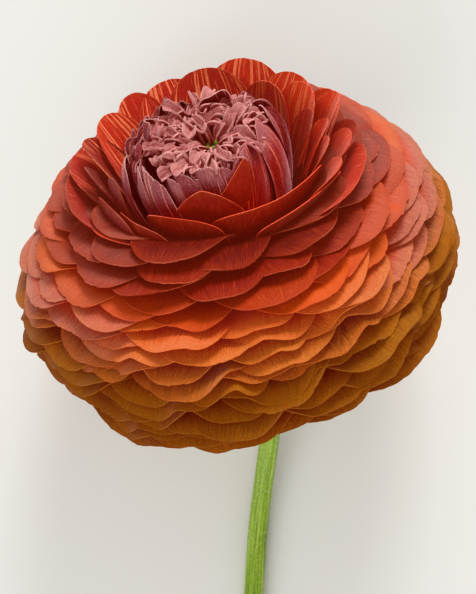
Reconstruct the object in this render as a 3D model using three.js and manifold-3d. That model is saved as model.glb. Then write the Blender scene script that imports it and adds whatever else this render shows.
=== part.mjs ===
// A ranunculus flower, picked and laid down: a deep globe of layered petals on a bent, hollow stem.
// Millimetres, +Z up. The surface it lies on is z = 0, and the origin is under the middle of its bounding box.
//
// The bloom is built about an axis of its own, +Z in the bloom's frame, with z = 0 at the bloom's middle and
// azimuth 0 on the side that faces up once the flower is laid down. A row of petals shares one meridian curve,
// from its root on the receptacle to its tip, and the curves of the rows nest in each other like bowls.
import * as THREE from "three";
import { mergeVertices } from "three/addons/utils/BufferGeometryUtils.js";
import Module from "manifold-3d";

const wasm = await Module();
wasm.setup();

const rad = THREE.MathUtils.degToRad;
const mix = THREE.MathUtils.lerp;

// ---- Driving dimensions -------------------------------------------------------------------------------------

const bladeThickness = 0.7; // of a petal
const jointGap = 0.35; // left between neighbouring pieces that lie on each other

// The tips of the spreading petals lie on an ellipse turned about the bloom's axis.
const bloom = {
  radius: 55, // the widest reach of the tips
  domeHeight: 49.3, // the ellipse's other half axis
  widestAt: -5, // where along the axis the bloom is widest
  topTip: rad(46), // the ellipse's angle at the uppermost spreading row
  lowTip: rad(-14.7), // and at the lowest row, the guard petals
  rows: 8,
};

// Roots lie on a dome, the receptacle, and each row leaves it square to its surface.
const receptacle = {
  radius: 11.5, // of the dome's section
  offset: 1.8, // of that section's centre from the axis
  z: -27, // of that section's centre
  rootDepth: 0.9, // how far out of the dome a row's root edge lies, inside its collar
  collarDepth: 3, // how far the collar that joins a node's roots stands out
  columnRadius: 2.2, // the slim cone of unripe carpels in the middle
  columnTop: 45.5,
};

// How the whole flower lies: the bloom's axis points up and a little aside, and its lowest petals are cut
// level where they press on the surface.
const pose = { tilt: rad(40), turn: rad(13.8), bloomHeight: 48.6 };

const stem = { radius: 2.6, bore: 1.35, height: 2.3, sides: 8, boreSides: 5, steps: 20 };

// ---- Closed meshes and solids -------------------------------------------------------------------------------

function solidOf(geometry) {
  const bare = geometry.clone();
  bare.deleteAttribute("normal");
  bare.deleteAttribute("uv");
  const merged = mergeVertices(bare, 1e-4);
  const triVerts = new Uint32Array(merged.index.array);
  const vertProperties = new Float32Array(merged.attributes.position.array);
  return new wasm.Manifold(new wasm.Mesh({ numProp: 3, vertProperties, triVerts }));
}

function geometryOf(solid) {
  const mesh = solid.getMesh();
  return new THREE.BufferGeometry()
    .setAttribute("position", new THREE.BufferAttribute(new Float32Array(mesh.vertProperties), 3))
    .setIndex(new THREE.BufferAttribute(new Uint32Array(mesh.triVerts), 1));
}

const joined = (geometries) => wasm.Manifold.union(geometries.map(solidOf));

// A solid turned about +Z, from a closed outline of [distance from the axis, height], walked anticlockwise.
function turned(outline, segments) {
  const points = outline.map(([r, z]) => new THREE.Vector2(r, z));
  return new THREE.LatheGeometry(points, segments).rotateX(Math.PI / 2);
}

function part(name, color, roughness, solid) {
  const geometry = geometryOf(solid);
  geometry.computeVertexNormals();
  const material = new THREE.MeshStandardMaterial({ color, roughness, metalness: 0, flatShading: true });
  const mesh = new THREE.Mesh(geometry, material);
  mesh.name = name;
  return mesh;
}

// ---- Petals -------------------------------------------------------------------------------------------------

const claw = 0.2; // a petal's width at its root, as a share of its full width
const shoulder = 0.86; // where along its length a petal is widest
const roundTip = 0.107; // how far its corners stop short of its tip, as a share of its length
const tipTaper = 0.18;

function widthAt(v) {
  const spread = Math.sin((Math.PI / 2) * Math.min(v / shoulder, 1)) ** 3.4;
  const past = Math.max(0, (v - shoulder) / (1 - shoulder));
  return mix(claw, 1, spread) * (1 - tipTaper * past * past);
}

// A root's place on the receptacle, for a row that leaves it at this angle above the bloom's middle plane.
function rootPoint(angle, out) {
  const reach = receptacle.radius + out;
  return [receptacle.offset + reach * Math.cos(angle), receptacle.z + reach * Math.sin(angle)];
}

// The meridian of a row, in distance from the axis and height along it.
function rowCurve({ rootAngle, tip, tipAngle, rise = 0.46, fall = 0.34 }) {
  const root = new THREE.Vector2(...rootPoint(rootAngle, receptacle.rootDepth));
  const end = new THREE.Vector2(...tip);
  const reach = root.distanceTo(end);
  const leave = new THREE.Vector2(Math.cos(rootAngle), Math.sin(rootAngle)).multiplyScalar(rise * reach);
  const arrive = new THREE.Vector2(Math.cos(tipAngle), Math.sin(tipAngle)).multiplyScalar(fall * reach);
  return new THREE.CubicBezierCurve(root, root.clone().add(leave), end.clone().sub(arrive), end);
}

// One petal: a blade of even thickness that follows its row's meridian and wraps round the axis. One side edge
// stands in front of the next petal and the other behind it (twist), and the margin waves.
function petal(row, azimuth, { stations, across, phase }) {
  const top = [];
  const under = [];
  for (const v of stations) {
    for (let j = 0; j <= across; j += 1) {
      const h = (2 * j) / across - 1;
      const t = v * (1 - roundTip * h * h * v ** 3);
      const at = row.curve.getPoint(t);
      const along = row.curve.getTangent(t);
      const lift = row.twist * h * v + row.wave * v ** 4 * Math.sin(2.6 * h + phase);
      const around = azimuth + (h * row.width * widthAt(v)) / 2 / at.x;
      for (const [side, list] of [[0.5, top], [-0.5, under]]) {
        const out = lift + side * bladeThickness;
        const r = at.x - along.y * out;
        list.push(r * Math.sin(around), -r * Math.cos(around), at.y + along.x * out);
      }
    }
  }
  const wide = across + 1;
  const count = top.length / 3;
  const faces = [];
  const rim = [];
  for (let i = 0; i < stations.length - 1; i += 1) {
    for (let j = 0; j < across; j += 1) {
      const [a, b, c, d] = [i * wide + j, (i + 1) * wide + j, (i + 1) * wide + j + 1, i * wide + j + 1];
      faces.push(a, b, c, a, c, d, count + a, count + c, count + b, count + a, count + d, count + c);
    }
  }
  const last = (stations.length - 1) * wide;
  for (let i = 0; i < stations.length - 1; i += 1) rim.push(i * wide);
  for (let j = 0; j < across; j += 1) rim.push(last + j);
  for (let i = stations.length - 1; i > 0; i -= 1) rim.push(i * wide + across);
  for (let j = across; j > 0; j -= 1) rim.push(j);
  rim.forEach((p, k) => {
    const q = rim[(k + 1) % rim.length];
    faces.push(q, p, count + p, q, count + p, count + q);
  });
  return new THREE.BufferGeometry()
    .setAttribute("position", new THREE.Float32BufferAttribute([...top, ...under], 3))
    .setIndex(faces);
}

function petalsOf(row, shape) {
  return Array.from({ length: row.count }, (_, k) => {
    const azimuth = (2 * Math.PI * (k + row.start)) / row.count;
    return petal(row, azimuth, { ...shape, phase: 2.4 * k + 7 * row.start });
  });
}

// The ring that joins the roots of a node's rows, over the receptacle's dome.
function collar(rows) {
  const spare = 0.5 * (bladeThickness + 0.25) / receptacle.radius;
  const angles = rows.map((row) => row.rootAngle);
  const low = Math.min(...angles) - spare;
  const high = Math.max(...angles) + spare;
  const inside = jointGap;
  const outline = [
    rootPoint(low, inside),
    rootPoint(low, receptacle.collarDepth),
    rootPoint(high, receptacle.collarDepth),
    rootPoint(high, inside),
  ];
  return turned([...outline, outline[0]], 16);
}

const petalNode = (name, color, rows, shape) =>
  part(name, color, 0.6, joined([collar(rows), ...rows.flatMap((row) => petalsOf(row, shape))]));

// ---- The rows, from the guard petals up to the button -------------------------------------------------------

const rowStep = rad(7); // between the root angles of neighbouring rows
const lowestRoot = rad(5);

// Row 0 is the lowest of the spreading rows.
function spreadingRow(index) {
  const up = index / (bloom.rows - 1);
  const angle = mix(bloom.lowTip, bloom.topTip, up);
  const tip = [bloom.radius * Math.cos(angle), bloom.widestAt + bloom.domeHeight * Math.sin(angle)];
  const count = index > 5 ? 9 : 10;
  const row = {
    rootAngle: lowestRoot + index * rowStep,
    tip,
    tipAngle: mix(rad(-26), rad(12), up),
    count,
    width: (1.06 * 2 * Math.PI * tip[0]) / count,
    start: 0.5 * (index % 2) + 0.13 * index,
    twist: 0.8,
    wave: 0.55,
  };
  return { ...row, curve: rowCurve(row) };
}

function innerRow(index, row) {
  const full = { rootAngle: lowestRoot + (bloom.rows + index) * rowStep, twist: 0.6, wave: 0.3, ...row };
  return { ...full, curve: rowCurve(full) };
}

const cupRows = [
  innerRow(0, { tip: [32, 38.4], tipAngle: rad(46), count: 8, width: 25, start: 0.3, rise: 0.36, fall: 0.26 }),
  innerRow(1, { tip: [25.4, 43.2], tipAngle: rad(74), count: 8, width: 20.5, start: 0.8, fall: 0.24 }),
];
const buttonRows = [
  innerRow(2, { tip: [15.5, 47.3], tipAngle: rad(136), count: 12, width: 11.5, start: 0, rise: 0.52, fall: 0.22 }),
];

// ---- The middle: petal-like stamens on a slim core ----------------------------------------------------------

const golden = Math.PI * (3 - Math.sqrt(5));
const petaloid = { count: 20, spread: 11.4, thickness: 1.5, baseZ: 41.5, rise: 4.4, lean: 3.4 };

// A small repeatable draw in 0..1.
function drawer(seed) {
  let state = seed;
  return () => {
    state = (state * 1664525 + 1013904223) % 4294967296;
    return state / 4294967296;
  };
}

function petaloidStub(k, draw) {
  const out = petaloid.spread * Math.sqrt((k + 1.6) / (petaloid.count + 1.6));
  const place = new THREE.Vector3(Math.sin(k * golden) * out, -Math.cos(k * golden) * out, petaloid.baseZ);
  const heading = k * golden + Math.PI + mix(-1.1, 1.1, draw());
  const lean = petaloid.lean * mix(0.6, 1, draw());
  const over = new THREE.Vector3(Math.sin(heading) * lean, -Math.cos(heading) * lean, petaloid.rise);
  const knee = place.clone().add(new THREE.Vector3(0, 0, petaloid.rise + 1));
  const path = new THREE.QuadraticBezierCurve3(place, knee, place.clone().add(over));
  const half = petaloid.thickness * mix(0.5, 0.75, draw());
  const wide = half * mix(1.2, 1.8, draw());
  const section = new THREE.Shape([
    new THREE.Vector2(-half, -wide),
    new THREE.Vector2(half, -wide),
    new THREE.Vector2(half, wide),
    new THREE.Vector2(-half, wide),
  ]);
  return new THREE.ExtrudeGeometry(section, { steps: 3, extrudePath: path });
}

function petaloidNode() {
  const draw = drawer(41);
  const [rootR, rootZ] = rootPoint(rad(80), jointGap);
  const hole = receptacle.columnRadius + jointGap;
  const stalks = turned(
    [
      [hole, rootZ],
      [rootR, rootZ],
      [8.5, 8],
      [11.6, 32],
      [12.6, 40],
      [9.6, 43.6],
      [hole, 44.4],
      [hole, rootZ],
    ],
    14,
  );
  const stubs = Array.from({ length: petaloid.count }, (_, k) => petaloidStub(k, draw));
  const column = new THREE.CylinderGeometry(hole, hole, 100, 12).rotateX(Math.PI / 2);
  return part("petaloids", 0xa8595c, 0.75, joined([stalks, ...stubs]).subtract(solidOf(column)));
}

// ---- Sepals, under the guard petals -------------------------------------------------------------------------

function sepalNode() {
  const curve = new THREE.CubicBezierCurve(
    new THREE.Vector2(10, -31.2),
    new THREE.Vector2(16.5, -28.2),
    new THREE.Vector2(22.5, -28.6),
    new THREE.Vector2(27, -34),
  );
  const row = { curve, count: 5, start: 0.25, width: 11, twist: 0.3, wave: 0.4 };
  const ring = turned(
    [
      [7.4, -32.9],
      [12.6, -30.3],
      [12.6, -29.0],
      [7.4, -31.6],
      [7.4, -32.9],
    ],
    14,
  );
  const blades = petalsOf(row, { stations: [0, 0.4, 0.75, 1], across: 2 });
  return part("sepals", 0x7c9a45, 0.7, joined([ring, ...blades]));
}

// ---- Stem, receptacle and carpels: one grown piece ----------------------------------------------------------

const bloomAxis = new THREE.Vector3(
  -Math.sin(pose.turn) * Math.cos(pose.tilt),
  Math.cos(pose.turn) * Math.cos(pose.tilt),
  Math.sin(pose.tilt),
);
const onAxis = (z) => new THREE.Vector3(0, 0, pose.bloomHeight).addScaledVector(bloomAxis, z);

// From the receptacle down the bloom's axis, then round to lie along the surface as far as the cut end.
const stemRoute = new THREE.CatmullRomCurve3([
  onAxis(-31),
  onAxis(-41),
  new THREE.Vector3(8.3, -40, 15.2),
  new THREE.Vector3(7.2, -50.5, 8.7),
  new THREE.Vector3(5.6, -63, 4.5),
  new THREE.Vector3(4.4, -78, stem.height + 0.3),
  new THREE.Vector3(3.6, -96, stem.height),
  new THREE.Vector3(4, -120, stem.height),
  new THREE.Vector3(6, -146, stem.height),
  new THREE.Vector3(10, -172, stem.height),
  new THREE.Vector3(16, -198, stem.height),
]);

function ringOf(radius, sides) {
  return Array.from({ length: sides }, (_, k) => {
    const angle = (2 * Math.PI * k) / sides;
    return new THREE.Vector2(radius * Math.cos(angle), radius * Math.sin(angle));
  });
}

const head = new THREE.Group();
head.position.set(0, 0, pose.bloomHeight);
head.rotation.set(pose.tilt - Math.PI / 2, 0, pose.turn, "ZYX");
head.updateMatrixWorld(true);
const intoHead = head.matrixWorld.clone().invert();

function stemNode() {
  const section = new THREE.Shape(ringOf(stem.radius, stem.sides));
  section.holes.push(new THREE.Path(ringOf(stem.bore, stem.boreSides)));
  const tube = new THREE.ExtrudeGeometry(section, { steps: stem.steps, extrudePath: stemRoute });
  tube.applyMatrix4(intoHead);
  const dome = [0, 20, 40, 60, 80].map((angle) => rootPoint(rad(angle), 0));
  const { columnRadius, columnTop } = receptacle;
  const body = turned(
    [
      [0, -41],
      [stem.radius - 0.15, -41],
      [3.4, -35.5],
      [7, -31.4],
      [12.7, -28.3],
      ...dome,
      [columnRadius, dome[4][1]],
      [columnRadius, columnTop - 1.6],
      [0.6 * columnRadius, columnTop - 0.2],
      [0, columnTop],
    ],
    14,
  );
  return part("stem", 0x7fa23a, 0.55, joined([tube, body]).subtract(belowSurface()));
}

// Everything under z = 0, in the bloom's frame.
function belowSurface() {
  const block = new THREE.BoxGeometry(600, 600, 60).translate(0, 0, -30);
  return solidOf(block.applyMatrix4(intoHead));
}

// ---- The whole flower ---------------------------------------------------------------------------------------

const petalShape = { stations: [0, 0.4, 0.7, 0.88, 1], across: 3 };
const slimShape = { stations: [0, 0.45, 0.78, 1], across: 2 };
const rowsAt = (...indexes) => indexes.map(spreadingRow);

const guard = petalNode("guard_petals", 0x9a4a12, rowsAt(0, 1), petalShape);
guard.geometry = geometryOf(solidOf(guard.geometry).subtract(belowSurface()));

head.add(
  stemNode(),
  sepalNode(),
  guard,
  petalNode("amber_petals", 0xb4570f, rowsAt(2, 3), petalShape),
  petalNode("orange_petals", 0xc2431a, rowsAt(4, 5), petalShape),
  petalNode("crimson_petals", 0x8e1f10, rowsAt(6, 7), petalShape),
  petalNode("cup_petals", 0x9a2012, cupRows, petalShape),
  petalNode("button_petals", 0x7a2a2a, buttonRows, slimShape),
  petaloidNode(),
);

const flower = new THREE.Group();
flower.add(head);
flower.updateMatrixWorld(true);
const box = new THREE.Box3().setFromObject(flower, true);
flower.position.set(-(box.min.x + box.max.x) / 2, -(box.min.y + box.max.y) / 2, -box.min.z);

export default flower;
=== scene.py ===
# Ranunculus flower, picked and laid down. The bloom is modelled in its own frame, in millimetres:
# +Z is the bloom's axis, z = 0 its middle, and azimuth 0 the side that faces up once it lies down.
import math
import random

import bmesh
import bpy
import numpy as np
from mathutils import Matrix, Vector


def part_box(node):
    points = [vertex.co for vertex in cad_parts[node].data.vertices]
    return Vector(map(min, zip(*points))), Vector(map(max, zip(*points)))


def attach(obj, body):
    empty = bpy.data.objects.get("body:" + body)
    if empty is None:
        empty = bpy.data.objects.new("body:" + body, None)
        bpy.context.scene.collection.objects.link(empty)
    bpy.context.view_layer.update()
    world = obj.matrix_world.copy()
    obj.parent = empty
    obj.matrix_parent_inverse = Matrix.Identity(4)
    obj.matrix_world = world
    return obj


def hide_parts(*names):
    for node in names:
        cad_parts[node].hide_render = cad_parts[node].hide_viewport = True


mm = 0.001

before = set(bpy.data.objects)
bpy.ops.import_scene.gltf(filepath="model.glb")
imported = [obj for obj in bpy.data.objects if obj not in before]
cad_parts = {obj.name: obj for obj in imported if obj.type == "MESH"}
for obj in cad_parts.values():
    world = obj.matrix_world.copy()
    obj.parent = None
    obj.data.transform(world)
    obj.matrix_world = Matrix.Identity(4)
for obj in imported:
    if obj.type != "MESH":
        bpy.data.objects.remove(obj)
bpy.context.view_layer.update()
print("frame loaded")

# where the bloom's middle stands: this far beyond the stem's cut end, and this high above the surface
bloomPose = {"tilt": 40, "turn": 13.8, "pastCutEnd": 0.1986, "sideways": -0.0009, "height": 0.0486}
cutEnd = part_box("stem")[0].y
bloomCentre = Vector((bloomPose["sideways"], cutEnd + bloomPose["pastCutEnd"], bloomPose["height"]))
bloomToFrame = (
    Matrix.Translation(bloomCentre)
    @ Matrix.Rotation(math.radians(bloomPose["turn"]), 4, "Z")
    @ Matrix.Rotation(math.radians(bloomPose["tilt"] - 90), 4, "X")
    @ Matrix.Scale(mm, 4)
)

# the camera looks straight down on the bloom
cameraPlan = {"distance": 1.4, "belowBloom": 0.00725, "viewHeight": 0.1485, "sensor": 36.0, "farthest": 10}


def addCamera():
    aim = bloomCentre - Vector((0, cameraPlan["belowBloom"], 0))
    bpy.ops.object.camera_add(location=aim + Vector((0, 0, cameraPlan["distance"])), rotation=(0, 0, 0))
    camera = bpy.context.object
    camera.name = "camera"
    camera.data.sensor_width = cameraPlan["sensor"]
    camera.data.lens = cameraPlan["sensor"] * cameraPlan["distance"] / cameraPlan["viewHeight"]
    camera.data.clip_end = cameraPlan["farthest"]
    bpy.context.scene.camera = camera


addCamera()
print("camera placed")


def deselectAll():
    bpy.ops.object.select_all(action="DESELECT")


def setMode(mode):
    bpy.ops.object.mode_set(mode=mode)


def pick(piece):
    deselectAll()
    piece.select_set(True)
    bpy.context.view_layer.objects.active = piece


def joinAs(name, parts):
    pick(parts[0])
    for part in parts:
        part.select_set(True)
    bpy.ops.object.join()
    joined = bpy.context.object
    joined.name = name
    joined.data.name = name
    return joined


def useModifier(piece, kind, **settings):
    pick(piece)
    modifier = piece.modifiers.new(kind.title(), kind)
    for key, value in settings.items():
        setattr(modifier, key, value)
    bpy.ops.object.modifier_apply(modifier=modifier.name)


def smoothShade(piece):
    pick(piece)
    bpy.ops.object.shade_smooth_by_angle(angle=math.radians(50))


def pointsOf(mesh):
    flat = np.empty(len(mesh.vertices) * 3)
    mesh.vertices.foreach_get("co", flat)
    return flat.reshape(-1, 3)


def setPoints(mesh, points):
    mesh.vertices.foreach_set("co", np.asarray(points, np.float32).ravel())
    mesh.update()


def setValue(mesh, name, values):
    attribute = mesh.attributes.get(name) or mesh.attributes.new(name, "FLOAT", "POINT")
    attribute.data.foreach_set("value", np.broadcast_to(values, len(mesh.vertices)).astype(np.float32))


def newObject(name, mesh):
    made = bpy.data.objects.new(name, mesh)
    bpy.context.scene.collection.objects.link(made)
    return made


def mix(a, b, share):
    return a + (b - a) * share


def stray(draw, most):
    return draw.uniform(-most, most)


def anyTurn(draw):
    return draw.uniform(0, 6.28)


# what touches the surface is pressed flat against it, never through it
def pressOnSurface(piece, softness):
    points = pointsOf(piece.data)
    low = points[:, 2] < softness
    points[low, 2] = softness * np.exp((points[low, 2] - softness) / softness)
    setPoints(piece.data, points)


def standFor(piece, node):
    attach(piece, "root")
    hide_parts(node)


def srgb(r, g, b):
    linear = (c / 12.92 if c <= 0.04045 else ((c + 0.055) / 1.055) ** 2.4 for c in (r, g, b))
    return (*linear, 1)


def addNode(tree, kind, **settings):
    node = tree.nodes.new(kind)
    for key, value in settings.items():
        setattr(node, key, value)
    return node


def setInput(node, name, source, tree):
    if isinstance(source, bpy.types.NodeSocket):
        tree.links.new(source, node.inputs[name])
    else:
        node.inputs[name].default_value = source


def setFixed(node, values):
    for name, value in values.items():
        node.inputs[name].default_value = value


def calculate(tree, operation, *sources):
    node = addNode(tree, "ShaderNodeMath", operation=operation)
    for k, source in enumerate(sources):
        setInput(node, k, source, tree)
    return node.outputs[0]


def blendColours(tree, share, first, second, blendType="MIX"):
    node = addNode(tree, "ShaderNodeMix", data_type="RGBA", blend_type=blendType)
    # the colour sockets are the factor, 0, and the two colours, 6 and 7
    setInput(node, 0, share, tree)
    setInput(node, 6, first, tree)
    setInput(node, 7, second, tree)
    return node.outputs[2]


def layOver(tree, colour, paint, share, *masks):
    # paint over a colour, as strong as its share and all its masks together
    for mask in masks:
        share = calculate(tree, "MULTIPLY", mask, share)
    return blendColours(tree, share, colour, srgb(*paint))


def colourRamp(tree, source, stops):
    node = addNode(tree, "ShaderNodeValToRGB")
    elements = node.color_ramp.elements
    while len(elements) < len(stops):
        elements.new(0.5)
    for element, (place, colour) in zip(elements, stops.items()):
        element.position = place
        element.color = srgb(*colour)
    tree.links.new(source, node.inputs[0])
    return node.outputs[0]


def easeBetween(tree, source, low, high):
    # 0 at low, 1 at high, in either order
    node = addNode(tree, "ShaderNodeMapRange", interpolation_type="SMOOTHSTEP")
    setFixed(node, {"From Min": low, "From Max": high})
    tree.links.new(source, node.inputs["Value"])
    return node.outputs[0]


def readValue(tree, name):
    return addNode(tree, "ShaderNodeAttribute", attribute_name=name).outputs["Fac"]


def noiseAt(tree, vector, scale, detail):
    noise = addNode(tree, "ShaderNodeTexNoise")
    setFixed(noise, {"Scale": scale, "Detail": detail})
    tree.links.new(vector, noise.inputs["Vector"])
    return noise.outputs["Fac"]


def noiseOver(tree, scale, detail):
    coordinates = addNode(tree, "ShaderNodeTexCoord").outputs["Object"]
    return noiseAt(tree, coordinates, scale, detail)


def newMaterial(name):
    material = bpy.data.materials.new(name)
    material.use_nodes = True
    tree = material.node_tree
    tree.nodes.clear()
    shader = addNode(tree, "ShaderNodeBsdfPrincipled")
    output = addNode(tree, "ShaderNodeOutputMaterial")
    tree.links.new(shader.outputs[0], output.inputs[0])
    return material, tree, shader


def addBump(tree, shader, height, strength, distance):
    bump = addNode(tree, "ShaderNodeBump")
    setFixed(bump, {"Strength": strength, "Distance": distance})
    tree.links.new(height, bump.inputs["Height"])
    tree.links.new(bump.outputs[0], shader.inputs["Normal"])


# the pattern that every petal shares: how stretched its lines are, and the scales of its grain and patches
pattern = {
    "fineStretch": 0.2, "flameStretch": 0.03, "seedShift": 40, "detail": 2, "grainScale": 3000,
    "patchScale": 110, "sheenBlushEdge": (0.15, 0.42), "rimEdge": (0.3, 0.6), "glintEdge": (0.5, 0.7),
    "bumpDepth": 0.0004, "bumpGrain": 0.4, "roughGrain": 0.2,
}


def makeVeinGroup():
    # lines that fan out from the claw, broad flames and a grain, from the petal's own attributes
    group = bpy.data.node_groups.new("petalVeins", "ShaderNodeTree")
    for way, names in (("INPUT", ("Lines", "Flames")), ("OUTPUT", ("Fine", "Flame", "Grain"))):
        for name in names:
            group.interface.new_socket(name, in_out=way, socket_type="NodeSocketFloat")
    entry = group.nodes.new("NodeGroupInput")
    leave = group.nodes.new("NodeGroupOutput")
    across = readValue(group, "across")
    fromTip = readValue(group, "fromTip")
    shift = calculate(group, "MULTIPLY", readValue(group, "seed"), pattern["seedShift"])
    for name, count, stretch in (("Fine", "Lines", "fineStretch"), ("Flame", "Flames", "flameStretch")):
        place = addNode(group, "ShaderNodeCombineXYZ")
        group.links.new(calculate(group, "MULTIPLY", across, entry.outputs[count]), place.inputs[0])
        group.links.new(calculate(group, "MULTIPLY", fromTip, pattern[stretch]), place.inputs[1])
        group.links.new(shift, place.inputs[2])
        group.links.new(noiseAt(group, place.outputs[0], 1, pattern["detail"]), leave.inputs[name])
    grain = noiseOver(group, pattern["grainScale"], pattern["detail"])
    group.links.new(grain, leave.inputs["Grain"])
    return group


veinGroup = makeVeinGroup()


def petalColour(tree, finish, fine, flame, grain):
    layer, fromTip = readValue(tree, "layer"), readValue(tree, "fromTip")
    patches = noiseOver(tree, pattern["patchScale"], 1)
    uneven = calculate(tree, "SUBTRACT", 0.5, fine)
    # a petal's colours come from its layer, and stray from it by its seed
    centred = calculate(tree, "SUBTRACT", layer, finish["drift"] / 2)
    drift = calculate(tree, "MULTIPLY_ADD", readValue(tree, "seed"), finish["drift"], centred)
    # a salmon blush over the tip colour, in patches and most on the flanks: partly the petals' patchy salmon
    # tone, partly painted sheen
    tip = layOver(
        tree, colourRamp(tree, drift, finish["tips"]), finish["blush"], finish["sheenBlushShare"],
        easeBetween(tree, patches, *pattern["sheenBlushEdge"]), readValue(tree, "blushed"),
        easeBetween(tree, layer, *finish["sheenBlushLayers"]),
    )
    # towards the claw the colour turns to the heart's: partly the petal's own darker base, partly painted
    # shade under the petal above
    heart = colourRamp(tree, drift, finish["hearts"])
    reach = calculate(tree, "MULTIPLY_ADD", uneven, finish["veinReach"], fromTip)
    colour = blendColours(tree, easeBetween(tree, reach, *finish["fade"]), heart, tip)
    flames = easeBetween(tree, flame, *finish["flameEdge"]), readValue(tree, "streaked")
    colour = layOver(tree, colour, finish["flame"], finish["flameShare"], *flames)
    glow = calculate(tree, "MULTIPLY_ADD", uneven, finish["glowReach"], fromTip)
    glowing = easeBetween(tree, glow, finish["glowDepth"], 0)
    colour = layOver(tree, colour, finish["glow"], finish["glowShare"], glowing)
    lined = easeBetween(tree, fine, *finish["lineEdge"])
    colour = layOver(tree, colour, finish["line"], finish["lineShare"], lined)
    # painted glints: bright specks of the grain stand in for light catching the velvet
    glinted = easeBetween(tree, grain, *pattern["glintEdge"])
    colour = layOver(tree, colour, finish["glint"], finish["glintShare"], glinted)
    # a thin pale line along the margin: painted highlight, the light catching the petal's edge
    colour = layOver(
        tree, colour, finish["rim"], finish["rimShare"],
        easeBetween(tree, readValue(tree, "margin"), finish["rimWidth"], 0),
        easeBetween(tree, layer, *finish["rimLayers"]), easeBetween(tree, patches, *pattern["rimEdge"]),
    )
    # both shade the colour evenly about 1
    streaky = calculate(tree, "MULTIPLY_ADD", fine, finish["streakDepth"], 1 - finish["streakDepth"] / 2)
    grainy = calculate(tree, "MULTIPLY_ADD", grain, finish["grainDepth"], 1 - finish["grainDepth"] / 2)
    return blendColours(tree, 1, colour, calculate(tree, "MULTIPLY", streaky, grainy), "MULTIPLY")


def petalMaterial(name, finish):
    material, tree, shader = newMaterial(name)
    veins = addNode(tree, "ShaderNodeGroup", node_tree=veinGroup)
    setFixed(veins, {"Lines": finish["lines"], "Flames": finish["flames"]})
    fine, flame, grain = veins.outputs
    tree.links.new(petalColour(tree, finish, fine, flame, grain), shader.inputs["Base Color"])
    smoothest = finish["roughness"] - pattern["roughGrain"] / 2
    roughness = calculate(tree, "MULTIPLY_ADD", grain, pattern["roughGrain"], smoothest)
    tree.links.new(roughness, shader.inputs["Roughness"])
    # an even painted glow, the emission of the finish's through colour, stands in for the light that comes
    # through the petals and keeps the crevices a deep red
    setFixed(shader, {
        "Specular IOR Level": finish["specular"], "Sheen Weight": finish["sheen"],
        "Sheen Roughness": finish["sheenRoughness"], "Sheen Tint": srgb(*finish["sheenTint"]),
        "Emission Color": srgb(*finish["through"]), "Emission Strength": 1,
    })
    height = calculate(tree, "MULTIPLY_ADD", grain, pattern["bumpGrain"], fine)
    addBump(tree, shader, height, finish["bump"], pattern["bumpDepth"])
    return material


# Tips and hearts are a petal's colours at its tip and towards its claw, from the lowest layer, 0, to the
# top one, 1. The darker heart is partly the petal's own colour and partly painted shade, where the petal
# above overlaps it and in the crevices between layers. Distances from tip and margin are in millimetres,
# and a share is how strong a colour is.
spreadFinish = {
    "tips": {
        0: (0.46, 0.26, 0.04), 0.3: (0.51, 0.31, 0.04), 0.44: (0.58, 0.33, 0.06), 0.54: (0.75, 0.44, 0.17),
        0.66: (0.83, 0.41, 0.18), 0.73: (0.81, 0.33, 0.14), 0.8: (0.46, 0.075, 0.03),
        # the top layers' tips are darkened: partly their own deep crimson, partly painted shade under the
        # cup's overhanging lip
        0.9: (0.345, 0.028, 0.02), 1: (0.29, 0.02, 0.015),
    },
    "hearts": {
        0: (0.32, 0.1, 0.02), 0.3: (0.2, 0.02, 0.01), 0.44: (0.26, 0.03, 0.01), 0.55: (0.66, 0.2, 0.08),
        0.66: (0.7, 0.19, 0.08), 0.73: (0.6, 0.12, 0.06), 0.8: (0.28, 0.02, 0.02), 1: (0.24, 0.01, 0.01),
    },
    "drift": 0.07, "lines": 96, "flames": 5, "veinReach": 9, "fade": (8, 0.3),
    # the salmon blush is partly patchy colour and partly painted sheen on the flanks
    "blush": (0.59, 0.37, 0.33), "sheenBlushShare": 1, "sheenBlushLayers": (0.4, 0.55),
    "flame": (0.8, 0.2, 0.08), "flameShare": 0.1, "flameEdge": (0.55, 0.75),
    "glow": (0.74, 0.36, 0.16), "glowShare": 0.28, "glowDepth": 3, "glowReach": 7,
    "line": (0.8, 0.44, 0.26), "lineShare": 0.2, "lineEdge": (0.5, 0.75),
    # the specks are painted glints of light on the velvet
    "glint": (0.84, 0.52, 0.38), "glintShare": 0.16,
    # the rim is a painted highlight along the margin
    "rim": (0.94, 0.58, 0.46), "rimShare": 0.3, "rimWidth": 0.25, "rimLayers": (0.6, 0.9),
    # through is the colour of an even painted glow, standing in for light that comes through the petal
    "through": (0.32, 0.155, 0.145), "streakDepth": 0.75, "grainDepth": 1, "bump": 0.5,
    "roughness": 0.62, "specular": 0.2,
    "sheen": 0.4, "sheenRoughness": 0.35, "sheenTint": (1, 0.8, 0.74),
}
amberFinish = {
    **spreadFinish,
    "glow": (0.56, 0.35, 0.06), "line": (0.62, 0.4, 0.1), "glint": (0.66, 0.44, 0.14),
    "veinReach": 5, "fade": (11, 0.3), "streakDepth": 0.8, "through": (0.28, 0.12, 0.11),
}
crimsonFinish = {
    **spreadFinish,
    "lines": 110, "fade": (13, 0.3), "sheenBlushShare": 0.6, "sheenBlushLayers": (0.6, 0.75),
    "glow": (0.6, 0.18, 0.06), "glowShare": 0.35, "glowDepth": 3.5, "lineShare": 0.1,
    "glint": (0.66, 0.26, 0.1), "glintShare": 0.08, "rimShare": 0.22,
    "through": (0.3, 0.13, 0.115), "streakDepth": 1, "sheen": 0.05,
}
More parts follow.
